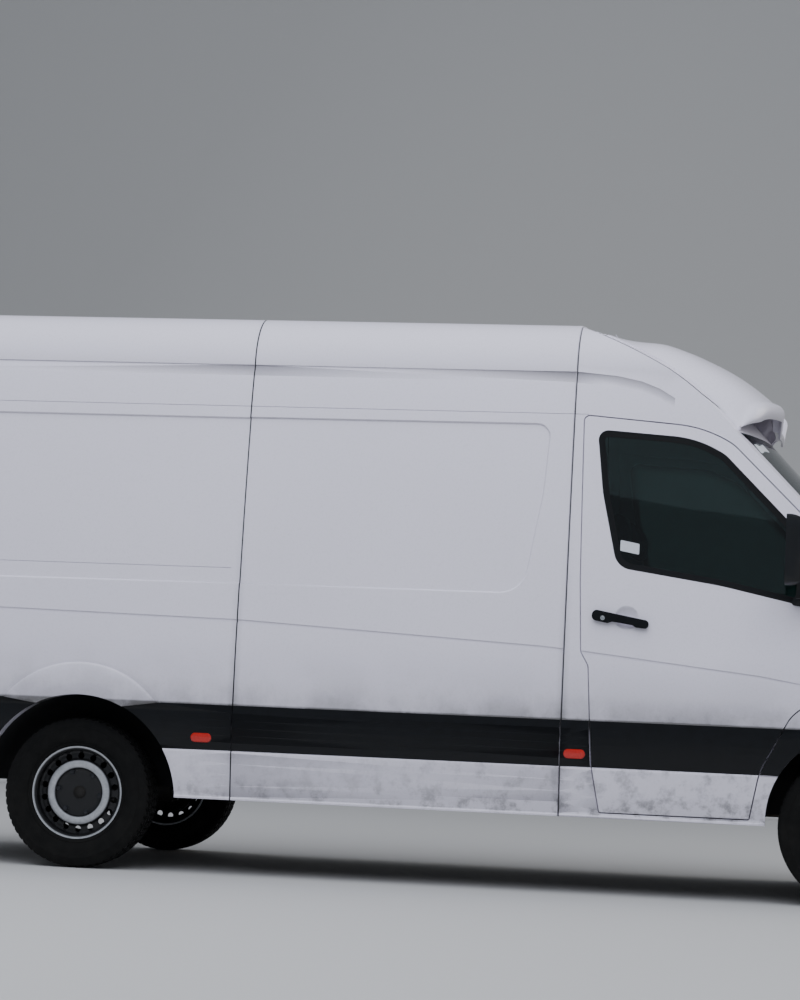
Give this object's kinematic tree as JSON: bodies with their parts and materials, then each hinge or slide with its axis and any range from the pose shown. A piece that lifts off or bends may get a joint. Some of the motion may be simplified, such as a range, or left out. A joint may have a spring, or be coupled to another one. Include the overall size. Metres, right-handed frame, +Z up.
{
  "type": "panel van",
  "caption": "High-roof panel van with hinged cab doors, opening bonnet, swinging rear doors, steered front wheels and a hollow load space.",
  "frame": {"origin": "on the ground under the middle of the van", "axes": "+X towards the front, +Y to the left side, +Z up"},
  "size_m": [5.9065, 2.4124, 2.7199],
  "materials": {
    "paint": "white enamel with road dirt",
    "trim": "grained black",
    "lamp": "clear lens",
    "lamp_red": "red lens",
    "glass": "tinted",
    "floor": "floor covering",
    "lining": "grained grey",
    "fabric": "woven dark blue",
    "iron": "cast",
    "aluminium": "finned",
    "chassis": "black chassis paint",
    "steel": "silver wheel paint",
    "tyre": "rubber",
    "tank": "moulded",
    "exhaust": "weathered"
  },
  "bodies": {
    "body": {"side_panel_right": "paint", "sliding_door": "paint", "rear_quarter_right": "paint", "rear_quarter_left": "paint", "load_roof": "paint", "cab_roof": "paint", "cab_frame_right": "paint", "cab_frame_left": "paint", "front_wings": "paint", "front_bumper": "trim", "grille": "trim", "headlamps": "lamp", "windscreen": "glass", "cowl": "trim", "wipers": "trim", "tail_lamps": "lamp_red", "load_floor": "floor", "wheel_arch_liners": "trim", "bulkhead": "lining", "cab_floor": "floor", "dashboard": "lining", "seat_frames": "trim", "seat_cushions": "fabric", "seat_backs": "fabric", "engine": "iron", "cooling_pack": "aluminium", "chassis_rails": "chassis", "rear_axle": "chassis", "propshaft": "chassis", "rear_springs": "chassis", "front_suspension": "chassis", "spare_wheel": "tyre", "fuel_tank": "tank", "exhaust": "exhaust", "rear_bumper": "trim"},
    "bonnet": {"bonnet": "paint"},
    "front_door_right": {"front_door_right": "paint", "door_glass_right": "glass", "door_mirror_right": "trim"},
    "rear_door_right": {"rear_door_right": "paint"},
    "knuckle_right": {"steering_knuckle_right": "chassis"},
    "front_door_left": {"front_door_left": "paint", "door_glass_left": "glass", "door_mirror_left": "trim"},
    "rear_door_left": {"rear_door_left": "paint"},
    "knuckle_left": {"steering_knuckle_left": "chassis"},
    "steering_wheel": {"steering_wheel": "trim"},
    "wheel_front_right": {"rim_front_right": "steel", "tyre_front_right": "tyre"},
    "wheel_front_left": {"rim_front_left": "steel", "tyre_front_left": "tyre"},
    "wheel_rear_right": {"rim_rear_right": "steel", "tyre_rear_right": "tyre"},
    "wheel_rear_left": {"rim_rear_left": "steel", "tyre_rear_left": "tyre"}
  },
  "joints": [
    {"name": "front_door_right_hinge", "type": "hinge", "parent": "body", "child": "front_door_right", "pos_m": [1.812, -0.958, 1.17], "axis": [0, 0, 1], "range_deg": [0, 70]},
    {"name": "rear_door_right_hinge", "type": "hinge", "parent": "body", "child": "rear_door_right", "pos_m": [-2.943, -0.866, 1.48], "axis": [0, 0, 1], "range_deg": [0, 180]},
    {"name": "knuckle_right_steer", "type": "hinge", "parent": "body", "child": "knuckle_right", "pos_m": [1.951, -0.79, 0.356], "axis": [0, 0, 1], "range_deg": [-35, 35]},
    {"name": "wheel_front_right_spin", "type": "hinge", "parent": "knuckle_right", "child": "wheel_front_right", "pos_m": [1.951, -0.855, 0.356], "axis": [0, 1, 0], "continuous": true},
    {"name": "wheel_rear_right_spin", "type": "hinge", "parent": "body", "child": "wheel_rear_right", "pos_m": [-1.714, -0.855, 0.356], "axis": [0, 1, 0], "continuous": true},
    {"name": "front_door_left_hinge", "type": "hinge", "parent": "body", "child": "front_door_left", "pos_m": [1.812, 0.958, 1.17], "axis": [0, 0, -1], "range_deg": [0, 70]},
    {"name": "rear_door_left_hinge", "type": "hinge", "parent": "body", "child": "rear_door_left", "pos_m": [-2.943, 0.866, 1.48], "axis": [0, 0, -1], "range_deg": [0, 180]},
    {"name": "knuckle_left_steer", "type": "hinge", "parent": "body", "child": "knuckle_left", "pos_m": [1.951, 0.79, 0.356], "axis": [0, 0, 1], "range_deg": [-35, 35]},
    {"name": "wheel_front_left_spin", "type": "hinge", "parent": "knuckle_left", "child": "wheel_front_left", "pos_m": [1.951, 0.855, 0.356], "axis": [0, 1, 0], "continuous": true},
    {"name": "wheel_rear_left_spin", "type": "hinge", "parent": "body", "child": "wheel_rear_left", "pos_m": [-1.714, 0.855, 0.356], "axis": [0, 1, 0], "continuous": true},
    {"name": "bonnet_hinge", "type": "hinge", "parent": "body", "child": "bonnet", "pos_m": [2.26, 0, 1.29], "axis": [0, -1, 0], "range_deg": [0, 50]},
    {"name": "steering_wheel_turn", "type": "hinge", "parent": "body", "child": "steering_wheel", "pos_m": [1.44, -0.47, 1.235], "axis": [-0.6428, 0, 0.766], "range_deg": [-540, 540]}
  ],
  "couplings": [
    {"joint": "knuckle_right_steer", "follows": "steering_wheel_turn", "ratio": 0.0648},
    {"joint": "knuckle_left_steer", "follows": "steering_wheel_turn", "ratio": 0.0648}
  ]
}
